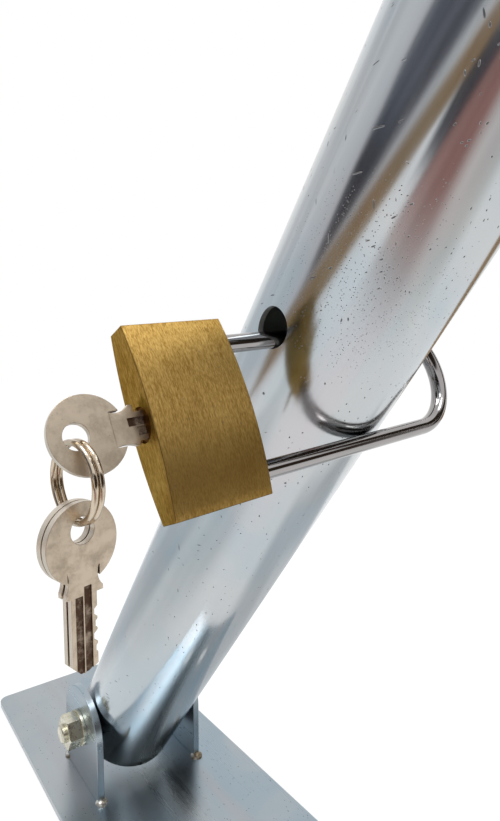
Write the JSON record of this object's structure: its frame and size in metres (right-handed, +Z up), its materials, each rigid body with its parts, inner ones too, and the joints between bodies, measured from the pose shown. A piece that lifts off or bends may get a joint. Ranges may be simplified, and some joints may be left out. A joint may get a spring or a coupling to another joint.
{
  "type": "folding parking post",
  "caption": "Round steel parking post pinned between two ears on a base plate so that it folds down, with a long-shackle padlock through a cross hole, its key and spare keys on a ring",
  "frame": {"origin": "On the underside of the base plate, straight below the pivot bolt's axis", "axes": "+X along the pivot bolt, from the nut to the bolt head; +Y away from the side the post folds to; +Z up from the ground"},
  "size_m": [0.1684, 0.4817, 0.5474],
  "materials": {
    "zinc_steel": "bright zinc plate with light scratches",
    "weld_steel": "weld bead, tinted by heat",
    "yellow_zinc": "yellow passivated zinc plate",
    "cap_plastic": "moulded black plastic",
    "lock_brass": "brushed brass",
    "shackle_steel": "polished hardened steel",
    "inner_steel": "plain turned steel",
    "inner_brass": "plain turned brass",
    "spring_steel": "spring wire",
    "key_nickel": "nickel plate with a warm tone",
    "ring_steel": "nickel plated spring wire"
  },
  "bodies": {
    "base": {"base_plate": "zinc_steel", "left_ear": "zinc_steel", "right_ear": "zinc_steel", "ear_welds": "weld_steel", "pivot_bolt": "yellow_zinc", "pivot_nut": "yellow_zinc", "pivot_washers": "yellow_zinc"},
    "post": {"post_tube": "zinc_steel", "post_cap": "cap_plastic"},
    "padlock": {"padlock_body": "lock_brass", "padlock_shackle": "shackle_steel", "heel_pin": "inner_steel", "shackle_spring": "spring_steel", "cylinder_pin": "inner_steel", "driver_pins": "inner_brass", "pin_springs": "spring_steel", "chamber_plugs": "lock_brass", "latch_spring": "spring_steel"},
    "cylinder": {"lock_cylinder": "inner_brass", "key_pins": "inner_brass", "inserted_key": "key_nickel"},
    "latch": {"latch_bolt": "inner_steel"},
    "ring": {"split_ring": "ring_steel"},
    "spare_front": {"spare_key_front": "key_nickel"},
    "spare_rear": {"spare_key_rear": "key_nickel"}
  },
  "joints": [
    {"name": "post_fold", "type": "hinge", "parent": "base", "child": "post", "pos_m": [0, 0, 0.0373], "axis": [1, 0, 0], "range_deg": [-35.27, 52]},
    {"name": "padlock_swing", "type": "hinge", "parent": "post", "child": "padlock", "pos_m": [-0.05041, -0.16041, 0.25852], "axis": [-0.9959, 0, -0.0899], "range_deg": [0, 62]},
    {"name": "key_turn", "type": "hinge", "parent": "padlock", "child": "cylinder", "pos_m": [-0.04878, -0.16748, 0.24048], "axis": [0.9959, 0, 0.0899], "range_deg": [0, 90]},
    {"name": "latch_slide", "type": "slide", "parent": "padlock", "child": "latch", "axis": [0.0838, -0.3633, -0.9279], "range_m": [0, 0.0024]},
    {"name": "ring_swing", "type": "hinge", "parent": "cylinder", "child": "ring", "pos_m": [-0.09858, -0.16748, 0.23488], "axis": [0.1461, -0.9893, 0], "range_deg": [-45, 20]},
    {"name": "spare_key_front_swing", "type": "hinge", "parent": "ring", "child": "spare_front", "pos_m": [-0.09858, -0.16748, 0.21528], "axis": [0.225, -0.9744, 0], "range_deg": [-40, 40]},
    {"name": "spare_key_rear_swing", "type": "hinge", "parent": "ring", "child": "spare_rear", "pos_m": [-0.09858, -0.16748, 0.21528], "axis": [0.225, -0.9744, 0], "range_deg": [-40, 40]}
  ],
  "couplings": [
    {"joint": "latch_slide", "follows": "key_turn", "m_per_rad": 0.0015279}
  ]
}
